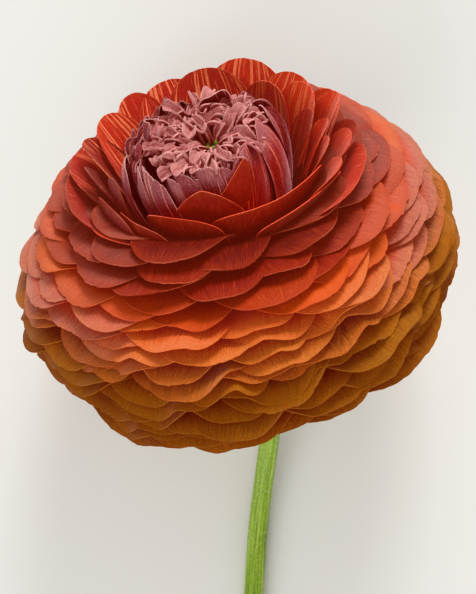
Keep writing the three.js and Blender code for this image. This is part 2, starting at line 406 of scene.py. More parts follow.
undersideFinish = {
    **spreadFinish,
    "tips": {0: (0.66, 0.36, 0.13), 0.5: (0.76, 0.37, 0.14), 1: (0.6, 0.15, 0.1)},
    "hearts": {0: (0.7, 0.44, 0.18), 0.5: (0.7, 0.33, 0.12), 1: (0.52, 0.1, 0.07)},
    "drift": 0.3, "lines": 40, "veinReach": 14, "fade": (26, 2), "sheenBlushShare": 0,
    "line": (0.84, 0.52, 0.26), "lineShare": 0.35, "rimShare": 0.5, "rimWidth": 0.5,
    "rimLayers": (-0.3, -0.2), "streakDepth": 1.6, "sheen": 0.2,
}
# along the cup's ramps the petals go from wine to red to orange
cupFinish = {
    **spreadFinish,
    "tips": {
        0: (0.44, 0.17, 0.16), 0.3: (0.66, 0.15, 0.11), 0.6: (0.84, 0.25, 0.15), 1: (0.88, 0.38, 0.17),
    },
    "hearts": {
        0: (0.34, 0.04, 0.03), 0.3: (0.52, 0.05, 0.03), 0.6: (0.72, 0.11, 0.06), 1: (0.74, 0.21, 0.08),
    },
    "drift": 0, "lines": 40, "flames": 11, "fade": (24, 3), "sheenBlushShare": 0, "glowShare": 0.1,
    "flame": (0.94, 0.52, 0.36), "flameShare": 0.85, "flameEdge": (0.565, 0.59),
    "line": (0.9, 0.52, 0.4), "lineShare": 0.35, "lineEdge": (0.62, 0.68), "glintShare": 0.05,
    "rimShare": 0.15, "rimLayers": (-0.2, 0.1),
}
cupOutsideFinish = {
    **cupFinish,
    "tips": {
        0: (0.44, 0.23, 0.24), 0.15: (0.44, 0.15, 0.15), 0.5: (0.44, 0.08, 0.06), 1: (0.54, 0.12, 0.09),
    },
    "hearts": {0: (0.32, 0.07, 0.07), 0.5: (0.38, 0.06, 0.05), 1: (0.5, 0.1, 0.08)},
    "lines": 60, "fade": (14, 3), "flameShare": 0.1, "lineShare": 0.1, "rimShare": 0.4,
    "through": (0.3, 0.12, 0.105), "streakDepth": 1.3, "sheen": 0.15,
}
buttonFinish = {
    **spreadFinish,
    "tips": {0: (0.54, 0.32, 0.32), 1: (0.46, 0.23, 0.24)},
    "hearts": {0: (0.35, 0.03, 0.02), 1: (0.42, 0.05, 0.03)},
    "drift": 0, "lines": 40, "flames": 7, "fade": (9.5, 3), "sheenBlushShare": 0, "glowShare": 0,
    "flame": (0.86, 0.56, 0.52), "flameShare": 0.7, "flameEdge": (0.62, 0.66),
    "line": (0.76, 0.46, 0.45), "glint": (0.82, 0.56, 0.56),
    "rim": (0.88, 0.68, 0.64), "rimShare": 0.6, "rimWidth": 0.35, "rimLayers": (-0.2, 0.1),
    "through": (0.2, 0.09, 0.085), "sheen": 0.7, "sheenTint": (0.95, 0.7, 0.72),
}
maroonFinish = {
    **buttonFinish,
    "tips": {0: (0.5, 0.24, 0.24), 1: (0.42, 0.15, 0.15)},
    "hearts": {0: (0.3, 0.06, 0.06), 1: (0.42, 0.09, 0.07)},
    "fade": (7, 1),
}
foldedFinish = {
    **buttonFinish,
    "tips": {0: (0.56, 0.3, 0.31), 1: (0.6, 0.31, 0.32)},
    "hearts": {0: (0.5, 0.07, 0.04), 1: (0.56, 0.1, 0.05)},
    "flames": 9, "fade": (12, 3), "flame": (0.88, 0.5, 0.38), "flameShare": 0.5, "flameEdge": (0.6, 0.63),
    "line": (0.8, 0.35, 0.25), "lineShare": 0.25,
}
petaloidFinish = {
    **buttonFinish,
    "tips": {0: (0.74, 0.49, 0.47), 1: (0.61, 0.35, 0.35)},
    "hearts": {0: (0.56, 0.22, 0.2), 1: (0.4, 0.11, 0.1)},
    "lines": 6, "veinReach": 3, "fade": (9, 3), "flameShare": 0, "line": (0.84, 0.6, 0.57),
    "lineShare": 0.4, "rim": (0.82, 0.6, 0.58), "rimShare": 0.4, "rimWidth": 0.5,
    "streakDepth": 1.4, "sheen": 0.5, "sheenTint": (1, 0.84, 0.84),
}
sepalFinish = {
    **spreadFinish,
    "tips": {0: (0.5, 0.58, 0.28), 1: (0.56, 0.62, 0.32)},
    "hearts": {0: (0.45, 0.56, 0.22), 1: (0.5, 0.6, 0.24)},
    "sheenBlushShare": 0, "flameShare": 0, "glowShare": 0, "line": (0.7, 0.76, 0.45), "lineShare": 0.3,
    "glint": (0.8, 0.85, 0.6), "rim": (0.75, 0.75, 0.5), "through": (0, 0, 0),
    "sheenTint": (0.85, 0.95, 0.7),
}
petalFinishes = {
    "amberInnerFace": amberFinish, "petalInnerFace": spreadFinish, "crimsonInnerFace": crimsonFinish,
    "petalOuterFace": undersideFinish, "cupInnerFace": cupFinish, "cupOuterFace": cupOutsideFinish,
    "buttonRed": buttonFinish, "foldedRed": foldedFinish, "curledMaroon": maroonFinish,
    "petaloidMauve": petaloidFinish, "sepalGreen": sepalFinish,
}
petalFaces = {name: petalMaterial(name, finish) for name, finish in petalFinishes.items()}


# what the green pieces share
greens = {
    "alongScale": 70, "grainScale": 1400, "grainShare": 0.35, "roughness": 0.5, "sheen": 0.3, "bump": 0.5,
}


def greenMaterial(name, shades, ribbing):
    # ribs run along what carries the attributes along and around, and a grain lies over them
    material, tree, shader = newMaterial(name)
    around = readValue(tree, "around")
    place = addNode(tree, "ShaderNodeCombineXYZ")
    for k, operation in enumerate(("COSINE", "SINE")):
        turned = calculate(tree, "MULTIPLY", calculate(tree, operation, around), ribbing)
        tree.links.new(turned, place.inputs[k])
    along = calculate(tree, "MULTIPLY", readValue(tree, "along"), greens["alongScale"])
    tree.links.new(along, place.inputs[2])
    ribs = noiseAt(tree, place.outputs[0], 1, 3)
    grain = calculate(tree, "SUBTRACT", noiseOver(tree, greens["grainScale"], 2), 0.5)
    shade = calculate(tree, "MULTIPLY_ADD", grain, greens["grainShare"], ribs)
    tree.links.new(colourRamp(tree, shade, shades), shader.inputs["Base Color"])
    setFixed(shader, {"Roughness": greens["roughness"], "Sheen Weight": greens["sheen"]})
    addBump(tree, shader, shade, greens["bump"], pattern["bumpDepth"])
    return material


stemShades = {0.3: (0.38, 0.5, 0.13), 0.52: (0.52, 0.64, 0.2), 0.75: (0.68, 0.76, 0.36)}
carpelShades = {0.3: (0.36, 0.4, 0.12), 0.52: (0.5, 0.54, 0.2), 0.75: (0.64, 0.64, 0.36)}
hairShades = {0.3: (0.8, 0.84, 0.66), 0.75: (0.92, 0.94, 0.84)}
stemGreen = greenMaterial("stemGreen", stemShades, 5)
carpelGreen = greenMaterial("carpelGreen", carpelShades, 2)
hairPale = greenMaterial("hairPale", hairShades, 1)
print("materials made")

# The flat blades that every petal is bent from: straight-sided up to the shoulder, then rounded off to the
# tip, the squarer the higher the fullness. The size in millimetres is that of the usual petal.
bladePlans = {
    "broad": {"grid": (24, 12), "size": (28, 52), "claw": 0.2, "shoulder": 0.77, "fullness": 2.7},
    "tongue": {"grid": (16, 18), "size": (17, 66), "claw": 0.4, "shoulder": 0.66, "fullness": 2.2},
    "wrap": {"grid": (24, 14), "size": (26, 52), "claw": 0.5, "shoulder": 0.84, "fullness": 2.7},
    "flame": {"grid": (14, 16), "size": (8, 60), "claw": 0.7, "shoulder": 0.75, "fullness": 1.45},
    "slim": {"grid": (14, 17), "size": (11, 60), "claw": 0.35, "shoulder": 0.8, "fullness": 2.2},
    "sepal": {"grid": (14, 12), "size": (13, 22), "claw": 0.62, "shoulder": 0.5, "fullness": 1.7},
    "ribbon": {"grid": (6, 12), "size": (3.2, 10), "claw": 0.7, "shoulder": 0.85, "fullness": 2.6},
}


def bladeWidth(y, plan):
    spread = math.sin(math.pi / 2 * min(y / plan["shoulder"], 1)) ** 1.6
    past = max(0, (y - plan["shoulder"]) / (1 - plan["shoulder"]))
    return mix(plan["claw"], 1, spread) * (1 - past ** plan["fullness"] / 2) ** (1 / plan["fullness"])


def flatBlade(name, plan):
    columns, rows = plan["grid"]
    width, length = plan["size"]
    deselectAll()
    bpy.ops.mesh.primitive_grid_add(x_subdivisions=columns, y_subdivisions=rows, size=2)
    blade = bpy.context.object
    blade.name = name
    across = pointsOf(blade.data)[:, 0]
    setMode("EDIT")
    bpy.ops.mesh.flip_normals()
    bpy.ops.transform.resize(value=(1, 0.5, 1))
    bpy.ops.transform.translate(value=(0, 0.5, 0))
    bpy.context.tool_settings.mesh_select_mode = (True, False, False)
    # rows stand closer towards the tip, which is what shows
    for step in range(rows, -1, -1):
        height = step / rows
        editing = bmesh.from_edit_mesh(blade.data)
        for vertex in editing.verts:
            vertex.select = abs(vertex.co.y - height) < 1e-4
        editing.select_flush_mode()
        raised = 1 - (1 - height) ** 1.5
        bpy.ops.transform.translate(value=(0, raised - height, 0))
        bpy.ops.transform.resize(value=(bladeWidth(raised, plan), 1, 1))
    setMode("OBJECT")
    points = pointsOf(blade.data)
    crown = 1 - plan["shoulder"]
    past = np.clip((points[:, 1] - plan["shoulder"]) / crown, 0, 1)
    drop = 1 - (1 - np.abs(across) ** plan["fullness"] / 2) ** (1 / plan["fullness"])
    onEdge = (np.abs(across) > 0.999) | (points[:, 1] > 0.999)
    fromTip = np.where(past > 0, (1 - past) * crown * (1 - drop), 1 - points[:, 1] - crown * drop)
    points[:, 1] -= crown * past * drop
    setPoints(blade.data, points)
    sized = points * (width / 2, length, 0)
    margin = np.linalg.norm(sized[:, None, :] - sized[onEdge][None, :, :], axis=2).min(axis=1)
    setValue(blade.data, "fromTip", fromTip * length)
    setValue(blade.data, "margin", margin)
    setValue(blade.data, "across", across)
    return blade


blades = {name: flatBlade(name, plan) for name, plan in bladePlans.items()}
print("blades made")

# every petal springs from the receptacle's dome, round this point of the bloom's axis or near it
receptacle = {"offset": 1.8, "height": -27}


def meridian(petal, t):
    # from the receptacle's dome to the tip, in distance from the axis and height along it
    rootAngle, tipAngle = math.radians(petal["rootAngle"]), math.radians(petal["tipAngle"])
    outward = np.array((math.cos(rootAngle), math.sin(rootAngle)))
    root = np.array((receptacle["offset"], receptacle["height"])) + petal["rootRadius"] * outward
    tip = np.array(petal["tip"], float)
    length = np.linalg.norm(tip - root)
    leave = root + petal["rise"] * length * outward
    arrive = tip - petal["fall"] * length * np.array((math.cos(tipAngle), math.sin(tipAngle)))
    t = t[:, None]
    s = 1 - t
    place = s**3 * root + 3 * s * s * t * leave + 3 * s * t * t * arrive + t**3 * tip
    slope = s * s * (leave - root) + 2 * s * t * (arrive - leave) + t * t * (tip - arrive)
    return place, slope / np.linalg.norm(slope, axis=1)[:, None]


# How a petal grows unless told otherwise. Rise and fall are how long it keeps to the slopes of its root and
# its tip. Lean and ragged move its rim along it, sweep turns its lower part round the axis, and the others
# lift it off its curve: twist one side, cup both sides, curl the tip, and wave and ruffle.
petalHabit = {
    "rootRadius": 12.1, "rise": 0.46, "fall": 0.34, "lean": 0, "ragged": 0.006, "sweep": 0,
    "twist": 0.8, "cup": 0, "curl": 0, "wave": 0.5, "waves": 2.6, "phase": 0, "ruffle": 0,
    "layer": 0.5, "seed": 0.5, "streaked": 1, "blushed": 0,
}
raggedTeeth = ((0.4, 13), (0.35, 29), (0.3, 47))  # depth and number
# waves round the bloom, how they wander from layer to layer, and how much a fold shortens the petal
folds = {"sharp": 8.5, "rounded": 11, "small": 27, "wander": 7, "shorten": 0.012}


def ruffleLift(around, layer):
    # the lower petals' margins rise in sharp folds and hang in rounded ones, together, so that they nest
    wander = folds["wander"] * layer
    sharp = 0.6 - 1.4 * np.abs(np.cos(folds["sharp"] * around + wander))
    rounded = np.sin(folds["rounded"] * around + 2 - 1.6 * wander)
    return 0.7 * sharp + 0.4 * rounded + 0.2 * np.sin(folds["small"] * around)


def bentPetal(blade, **values):
    petal = {**petalHabit, **values}
    mesh = blade.data.copy()
    flat = pointsOf(mesh)
    x, y = flat[:, 0], flat[:, 1]
    phase = petal["phase"]
    middle = math.radians(petal["azimuth"])
    side = x * petal["width"] / 2
    fold = petal["ruffle"] * y**4 * ruffleLift(middle + side / petal["tip"][0], petal["layer"])
    rim = sum(depth * np.sin(count * x + (k + 1) * phase) for k, (depth, count) in enumerate(raggedTeeth))
    t = y + petal["lean"] * x * y**3 + petal["ragged"] * rim * y**14 - folds["shorten"] * fold
    place, slope = meridian(petal, t)
    around = middle + side / np.maximum(place[:, 0], 3) - math.radians(petal["sweep"]) * (1 - y * y)
    lift = petal["twist"] * x * y + petal["cup"] * x * x * y * y + petal["curl"] * y**8
    lift = lift + petal["wave"] * y**4 * np.sin(petal["waves"] * x + phase) + fold
    r = place[:, 0] - slope[:, 1] * lift
    z = place[:, 1] + slope[:, 0] * lift
    setPoints(mesh, np.stack((r * np.sin(around), -r * np.cos(around), z), axis=1))
    for name in ("layer", "seed", "streaked", "blushed"):
        setValue(mesh, name, petal[name])
    return newObject("petal", mesh)


def byChance(draw):
    return {"phase": anyTurn(draw), "layer": draw.random(), "seed": draw.random()}


def finishPetals(name, petals, thickness, inside, outside, pressed=0):
    piece = joinAs(name, petals)
    for face in (inside, outside):
        piece.data.materials.append(petalFaces[face])
    useModifier(piece, "SOLIDIFY", thickness=thickness, offset=0, use_even_offset=False, material_offset=1,
                material_offset_rim=0)
    piece.data.transform(bloomToFrame)
    if pressed:
        pressOnSurface(piece, pressed)
    smoothShade(piece)
    print(name, len(petals), "petals,", len(piece.data.polygons), "faces")
    return piece


# the spreading petals, in one spiral from the guard petals up to the cup
spread = {
    # the heights, 0 to 1, that these shares of the petals reach
    "count": 246, "shares": (0, 0.772, 1), "shareHeights": (0, 0.72, 1), "turn": 137.508,
    # the tips lie on a dome, from one angle above its widest circle to another
    "radius": 55, "dome": 49.3, "widest": -5, "lowTip": -11.5, "topTip": 53, "lowRoot": 5, "topRoot": 66,
    "lowWidth": 34, "topWidth": 23, "lowFall": 0.34, "topFall": 0.42, "thickness": 0.26, "pressed": 0.003,
    # the slope of the tips in front and on the flanks, and how deeply they are ruffled, at these heights
    "heights": (0, 0.14, 0.4, 0.7, 0.88, 1),
    "slopes": (-40, -24, -18, -12, -10, -6), "flankSlopes": (-48, -44, -48, -42, -22, 26),
    "ruffles": (0.8, 2.4, 2.7, 0.5, 0.15, 0.1), "flankRuffle": 0.35, "flankAzimuths": (30, 80),
    "twistHeights": (0, 0.1, 0.14, 1), "twists": (2.8, 2.6, 1.8, 0.8),
    # how far the lower half bulges out, and how far the guard petals are tucked in, at azimuths all round
    "bulge": (
        (-180, -0.5), (-140, -2.4), (-97, 1.2), (-60, -0.6), (-20, 0), (18, -1.5), (32, -0.5), (60, -2.6),
        (80, 0.4), (110, 2.8), (140, 2), (180, -0.5),
    ),
    "bulgeHeights": (0.45, 0.75),
    "tuck": (
        (-180, 2), (-110, 4), (-75, 6), (-60, 3.4), (-40, 2.4), (-14, 0), (-2, 3), (12, 6.5), (18, 5.5),
        (27, -0.5), (39, -0.6), (50, 1), (60, 3.4), (76, 3.8), (100, 2), (180, 2),
    ),
    "tuckHeight": 0.22,
    # no petals this high in front, where the cup stands clear
    "frontTop": 0.97, "frontHalf": 52,
}
# piece, from this height, up to this one, inner face, node, slot
spreadZones = (
    ("guardPetals", 0, 0.14, "amberInnerFace", "guard_petals", "guard_petal"),
    ("amberPetals", 0.14, 0.4, "amberInnerFace", "amber_petals", "amber_petal"),
    ("orangePetals", 0.4, 0.68, "petalInnerFace", "orange_petals", "orange_petal"),
    ("crimsonPetals", 0.68, 1, "crimsonInnerFace", "crimson_petals", "crimson_petal"),
)


def heightUp(k):
    return np.interp((k + 0.5) / spread["count"], spread["shares"], spread["shareHeights"])


def spreadingPetal(blade, k, draw):
    up = heightUp(k)
    low, top = math.sin(math.radians(spread["lowTip"])), math.sin(math.radians(spread["topTip"]))
    dome = math.asin(mix(low, top, up))
    azimuth = spread["turn"] * k + stray(draw, 7)
    turned = (azimuth + 180) % 360 - 180
    flank = np.interp(abs(turned), spread["flankAzimuths"], (0, 1))
    slope = mix(np.interp(up, spread["heights"], spread["slopes"]),
                np.interp(up, spread["heights"], spread["flankSlopes"]), flank)
    width = mix(spread["lowWidth"], spread["topWidth"], up) * mix(1, 0.88, flank)
    ruffle = np.interp(up, spread["heights"], spread["ruffles"]) * mix(1, spread["flankRuffle"], flank)
    bulge = np.interp(turned, *zip(*spread["bulge"])) * np.interp(up, spread["bulgeHeights"], (1, 0))
    out = draw.uniform(-1.8, 1.2) * mix(1, 0.4, flank) + bulge
    out = out - np.interp(turned, *zip(*spread["tuck"])) * max(0, 1 - up / spread["tuckHeight"])
    reach, height = spread["radius"] * math.cos(dome), spread["widest"] + spread["dome"] * math.sin(dome)
    return bentPetal(
        blade, azimuth=azimuth, rootAngle=mix(spread["lowRoot"], spread["topRoot"], up),
        tip=(reach + out * math.cos(dome), height + out * math.sin(dome) + stray(draw, 0.7)),
        tipAngle=slope + stray(draw, 7),
        fall=mix(spread["lowFall"], mix(spread["topFall"], 0.3, flank), up),
        width=width * draw.uniform(0.82, 1.18),
        twist=np.interp(up, spread["twistHeights"], spread["twists"]) * draw.uniform(0.6, 1.3),
        cup=mix(draw.uniform(-0.5, 2.5), draw.uniform(-1.4, 0.6), min(1, 1.6 * up)),
        wave=draw.uniform(0.2, 0.8) * mix(1, 0.6, flank), waves=draw.uniform(2.2, 5), ruffle=ruffle,
        ragged=draw.choice((0.001, 0.003, 0.007)) * mix(mix(1, 0.3, up), 1.2, flank),
        phase=anyTurn(draw), lean=stray(draw, 0.04), layer=up, seed=draw.random(),
        # painted sheen: the blush grows on the flanks, where the petals are seen at a grazing angle in the
        # light
        blushed=min(0.9, 1.4 * flank),
    )


def leftOut(k):
    turned = abs((spread["turn"] * k + 180) % 360 - 180)
    return heightUp(k) > spread["frontTop"] and turned < spread["frontHalf"]


def addSpreadingPetals(blade):
    draw = random.Random(7)
    kept = [k for k in range(spread["count"]) if not leftOut(k)]
    petals = [(heightUp(k), spreadingPetal(blade, k, draw)) for k in kept]
    for name, low, high, inside, node, slot in spreadZones:
        zone = [petal for up, petal in petals if low <= up < high]
        piece = finishPetals(name, zone, spread["thickness"], inside, "petalOuterFace", spread["pressed"])
        standFor(piece, node)


addSpreadingPetals(blades["broad"])

# the cup: erect petals round the button, streaked inside
cup = {"thickness": 0.2, "habit": {"rise": 0.4, "fall": 0.24, "wave": 0.4, "ragged": 0.002}}
# azimuth, tip's distance from the axis, tip's height, width, tip's slope, how far the sides turn in,
# tone from wine, 0, to orange, 1, and how strongly it is streaked. On some petals the tone also holds painted
# shade: it is set lower where the lamps light the petal strongly.
cupPetals = (
    (-93, 30.5, 41, 10, 76, 1.5, 0, 0), (-79, 25, 40.5, 13, 112, 1, 0, 0),
    (-66, 34.5, 32.6, 26, 24, 0.6, 0.42, 0), (-106, 35.5, 37, 24, 44, 1, 0.18, 0.4),
    (-113, 32, 41, 14, 58, 2.5, 0.1, 1), (-128, 31, 41, 18, 60, 2, 0.38, 1),
    (-148, 32.5, 39.5, 18, 60, 2, 0.3, 1), (-167, 32.3, 38.5, 24, 58, 1.5, 0.3, 1),
    (174, 32, 39.3, 25, 62, 1, 0.25, 1), (154, 34, 39.8, 26, 58, 1, 0.4, 1),
    (134, 25.5, 41.5, 19, 80, 2.5, 0.3, 0.7), (130, 33.5, 38.5, 22, 54, 2, 0.5, 1),
    (113, 30, 42, 17, 66, 3, 0.6, 0.8), (106, 35, 39, 17, 52, 2.5, 0.55, 0.3),
    (97, 34, 43.5, 14, 62, 3, 0.5, 0.4), (100, 27, 40, 11, 74, 2.5, 0.2, 0.3),
    (86, 37, 37.5, 16, 46, 2.5, 0.2, 0), (84, 30, 41, 12, 64, 3, 0.4, 0.6),
    (76, 36, 40, 15, 52, 2.5, 0.5, 0), (58, 36, 39.5, 16, 46, 2.5, 0.5, 0.1),
    (70, 31, 40.5, 13, 60, 3, 0.35, 0.3),
)
# the broad ones that wrap round the front; the last numbers are their lean and twist
wrappedPetals = (
    (-69, 29, 36.8, 19, 104, 0.5, 0.05, 0, 0, 0), (-52, 27.3, 35.6, 19, 98, 0.5, 0.2, 0, -0.02, -0.5),
    (-28, 25.2, 38, 21, 80, 0, 0.5, 0, -0.01, -1), (42, 32.5, 35.6, 28, 56, 0.5, 0.6, 0, 0.05, -2),
    (30, 27.2, 38.2, 35, 68, 0, 0.6, 0, 0.05, -3), (-90, 37, 35, 27, 40, 0.8, 0.12, 0, 0, 0),
    (62, 39.5, 35, 28, 28, 1, 0.35, 0, 0, 0),
)
# the pointed ones behind those; the last numbers are their sweep and rise
pointedPetals = (
    (-12, 21.5, 43.6, 19, 90, 0, 0.45, 0, 0, 0.4), (26, 17.4, 46, 10, 112, 0.5, 0.85, 0, 42, 0.54),
)


def cupPetal(blade, values, draw, **more):
    azimuth, tipReach, tipHeight, width, tipSlope, turnIn, tone, streaked = values
    return bentPetal(
        blade, azimuth=azimuth, tip=(tipReach, tipHeight), tipAngle=tipSlope, width=width,
        rootAngle=mix(74, 66, (tipReach - 25) / 15), cup=turnIn, phase=anyTurn(draw),
        layer=tone, streaked=streaked, seed=draw.random(), **cup["habit"] | more,
    )


def addCupPetals(blade, wrapped, pointed):
    draw = random.Random(11)
    petals = []
    for values in cupPetals:
        lean, twist = stray(draw, 0.03), draw.uniform(0.2, 0.8)
        petals.append(cupPetal(blade, values, draw, lean=lean, twist=twist))
    for *values, lean, twist in wrappedPetals:
        petals.append(cupPetal(wrapped, values, draw, lean=lean, twist=twist))
    for *values, sweep, rise in pointedPetals:
        petals.append(cupPetal(pointed, values, draw, sweep=sweep, rise=rise, twist=0.3, wave=0.2))
    piece = finishPetals("cupPetals", petals, cup["thickness"], "cupInnerFace", "cupOuterFace")
    standFor(piece, "cup_petals")


addCupPetals(blades["tongue"], blades["wrap"], blades["flame"])

# the button: petals that curl in round the middle, and broad ones folded over one side
button = {
    "from": -92, "to": 16, "count": 10, "reaches": (20, 12.6), "heights": (42, 45.2), "widths": (9.6, 8),
    "slopes": (126, 130), "sweep": 42, "thickness": 0.28,
}
# at the back and on the left they are shrunken, dark, and curl every way
curled = {
    "from": 122, "to": 268, "count": 20, "reach": 16.4, "height": 42, "width": 7.5, "slope": 145,
    "sweep": 45,
}
# Both the larger dark ones and the folded ones begin as the cup's do, up to the tip's slope. They go on with
# cup and curl, and with fall, sweep and lean.
darkPetals = (
    (154, 12.5, 47, 14, 112, 4, 0), (-92, 18.5, 43.5, 11, 112, -2, 2), (-109, 17, 47.5, 9, 74, 3, 3),
)
foldedPetals = (
    (106, 16, 44.5, 9, 120, 0.2, 0, 0), (82, 12.5, 45.5, 15, 146, 0.25, 24, 0),
    (44, 12.5, 45.5, 13, 150, 0.21, 24, 0), (24, 15.5, 45.5, 10, 110, 0.2, 34, 0.1),
)


def finishButton(name, petals, face):
    piece = finishPetals(name, petals, button["thickness"], face, face)
    standFor(piece, "button_petals")


def addButtonPetals(blade):
    draw = random.Random(5)
    petals = []
    for k in range(button["count"]):
        along = k / (button["count"] - 1)
        azimuth = mix(button["from"], button["to"], along) + stray(draw, 2)
        petals.append(bentPetal(
            blade, azimuth=azimuth,
            tip=(mix(*button["reaches"], along) + stray(draw, 0.8),
                 mix(*button["heights"], along) + draw.uniform(-1.5, 0.8)),
            tipAngle=mix(*button["slopes"], along) + draw.uniform(-6, 10),
            width=mix(*button["widths"], along) * draw.uniform(0.85, 1.2),
            rootAngle=74 + stray(draw, 3), rise=0.52, fall=0.23, twist=-1.2, cup=draw.uniform(1.4, 2.2),
            sweep=button["sweep"] * math.sin(math.radians(azimuth)), wave=0.3, waves=4, **byChance(draw),
        ))
    finishButton("buttonPetals", petals, "buttonRed")


def addCurledPetals(blade):
    draw = random.Random(8)
    petals = []
    for k in range(curled["count"]):
        azimuth = mix(curled["from"], curled["to"], (k + stray(draw, 0.4)) / (curled["count"] - 1))
        petals.append(bentPetal(
            blade, azimuth=azimuth,
            tip=(curled["reach"] + draw.uniform(-2.2, 2), curled["height"] + draw.uniform(-2.6, 2)),
            tipAngle=curled["slope"] + stray(draw, 50), width=curled["width"] * draw.uniform(0.7, 1.4),
            rootAngle=72 + stray(draw, 4), rise=0.5, fall=draw.uniform(0.05, 0.11),
            twist=stray(draw, 2.5), cup=stray(draw, 3.5), curl=draw.uniform(-2, 3),
            sweep=curled["sweep"] * math.sin(math.radians(azimuth)),
            wave=draw.uniform(0.6, 1.4), waves=draw.uniform(4, 8), ragged=0.01, **byChance(draw),
        ))
    for azimuth, reach, height, width, slope, turnIn, curl in darkPetals:
        petals.append(bentPetal(
            blade, azimuth=azimuth, tip=(reach, height), tipAngle=slope, width=width, rootAngle=72,
            rise=0.5, fall=0.12, cup=turnIn, curl=curl, wave=0.8, waves=6, ragged=0.008, seed=draw.random(),
        ))
    finishButton("curledPetals", petals, "curledMaroon")


def addFoldedPetals(blade):
    draw = random.Random(9)
    petals = []
    for azimuth, reach, height, width, slope, fall, sweep, lean in foldedPetals:
        petals.append(bentPetal(
            blade, azimuth=azimuth, tip=(reach, height), tipAngle=slope, width=width, rootAngle=70,
            rise=0.5, fall=fall, sweep=sweep, lean=lean, twist=0.8, cup=2, wave=0.3, **byChance(draw),
        ))
    finishButton("foldedPetals", petals, "foldedRed")


addButtonPetals(blades["wrap"])
addCurledPetals(blades["slim"])
addFoldedPetals(blades["slim"])

# the middle: crinkled petal-like stamens that fan out from two hollows, and lean inwards at the rim
crinkle = {
    "count": 225, "reach": 14, "length": 7.6, "width": 2.6, "height": 39.2, "fold": 1.05, "thickness": 0.42,
    "centres": ((0.9, -1.1), (-2, 8.4)), "hollow": 1.6, "fall": 0.006, "rim": 12, "archSteps": 60,
    # how much a ribbon's length and width vary, and how far it turns over, in radians
    "lengths": (0.75, 1.2), "widths": (0.65, 1.3), "turnOvers": (1.2, 2.1),
    "crimps": ((0.3, 9, 2), (0.12, 21, -5)),  # depth, waves along the ribbon, and their slant across it
}


def crinkledRibbon(blade, place, heading, draw):
    mesh = blade.data.copy()
    flat = pointsOf(mesh)
    x, y = flat[:, 0], flat[:, 1]
    length = crinkle["length"] * draw.uniform(*crinkle["lengths"])
    half = crinkle["width"] / 2 * draw.uniform(*crinkle["widths"])
    phase = anyTurn(draw)
    turnOver = draw.uniform(*crinkle["turnOvers"])
    # stands up from its root, then arches over towards its heading
    steps = np.linspace(0, 1, crinkle["archSteps"])
    bend = turnOver * steps**1.1
    along, up = (
        length * np.interp(y, steps, np.concatenate(((0,), np.cumsum(part(bend[:-1]) / (len(steps) - 1)))))
        for part in (np.sin, np.cos)
    )
    lean = np.interp(y, steps, bend)
    gutter = crinkle["fold"] * half * np.abs(x) ** 1.6 * draw.choice((1, 1, 1, -1))
    crimp = sum(depth * np.sin(waves * y + slant * x + (k + 1) * phase)
                for k, (depth, waves, slant) in enumerate(crinkle["crimps"]))
    gutter = gutter + crimp * y
    along = along - np.cos(lean) * gutter
    up = up + np.sin(lean) * gutter
    spin = stray(draw, 1) * y
    side = x * half * np.cos(spin) + 0.8 * math.sin(phase) * y**2
    up = up + x * half * np.sin(spin) * 0.8
    forward = np.array((math.sin(heading), -math.cos(heading)))
    across = np.array((math.cos(heading), math.sin(heading)))
    points = np.empty((len(x), 3))
    points[:, :2] = np.array(place[:2]) + along[:, None] * forward + side[:, None] * across
    points[:, 2] = place[2] + up
    setPoints(mesh, points)
    setValue(mesh, "layer", draw.random())
    setValue(mesh, "seed", draw.random())
    return newObject("ribbon", mesh)


def addPetaloids(blade):
    draw = random.Random(23)
    golden = math.pi * (3 - math.sqrt(5))
    ribbons = []
    for k in range(crinkle["count"]):
        out = crinkle["reach"] * math.sqrt((k + 0.5) / crinkle["count"])
        place = np.array((math.sin(k * golden) * out, -math.cos(k * golden) * out))
        away = min((place - centre for centre in np.array(crinkle["centres"])), key=np.linalg.norm)
        if np.linalg.norm(away) < crinkle["hollow"]:
            continue
        heading = math.atan2(away[0], -away[1]) + (math.pi if out > crinkle["rim"] else 0)
        sunk = crinkle["height"] - crinkle["fall"] * out * out + draw.uniform(-1.2, 0.8)
        ribbons.append(crinkledRibbon(blade, (*place, sunk), heading + stray(draw, 0.7), draw))
    piece = finishPetals("crinkledPetaloids", ribbons, crinkle["thickness"], "petaloidMauve", "petaloidMauve")
    standFor(piece, "petaloids")


addPetaloids(blades["ribbon"])

# unripe carpels that show green in the hollows, each with a small hook at its end
carpels = {
    "count": 9, "reach": 2.4, "turn": 2.4, "radius": 0.75, "slim": 0.8, "height": 2.6, "hook": 1.2,
    "top": 41.5,
}


def addCarpels():
    draw = random.Random(31)
    grains = []
    for x, y in crinkle["centres"]:
        for k in range(carpels["count"]):
            turn, out = carpels["turn"] * k, carpels["reach"] * math.sqrt(k / carpels["count"])
            slim, tall = carpels["slim"], carpels["height"] / carpels["radius"] / 2
            deselectAll()
            bpy.ops.mesh.primitive_uv_sphere_add(segments=8, ring_count=6, radius=carpels["radius"])
            grain = bpy.context.object
            setMode("EDIT")
            bpy.ops.transform.resize(value=(slim, slim, tall))
            setMode("OBJECT")
            points = pointsOf(grain.data)
            hook = np.clip(points[:, 2] / carpels["height"], 0, 1) ** 2 * carpels["hook"]
            points[:, 0] += x + out * math.sin(turn) + hook * math.cos(turn)
            points[:, 1] += y + out * math.cos(turn) + hook * math.sin(turn)
            points[:, 2] += carpels["top"] - carpels["height"] / 2 + draw.uniform(-0.8, 0.4)
            setPoints(grain.data, points)
            grains.append(grain)
    piece = joinAs("carpels", grains)
    piece.data.transform(bloomToFrame)
    smoothShade(piece)
    piece.data.materials.append(carpelGreen)
    standFor(piece, "petaloids")


addCarpels()

# the stem, hollow at its cut end, and pressed flat by this much of a metre where it lies
stem = {"radius": 2.6, "bore": 1.3, "boreDepth": 9, "underReceptacle": (-30, -41), "pressed": 0.0008}
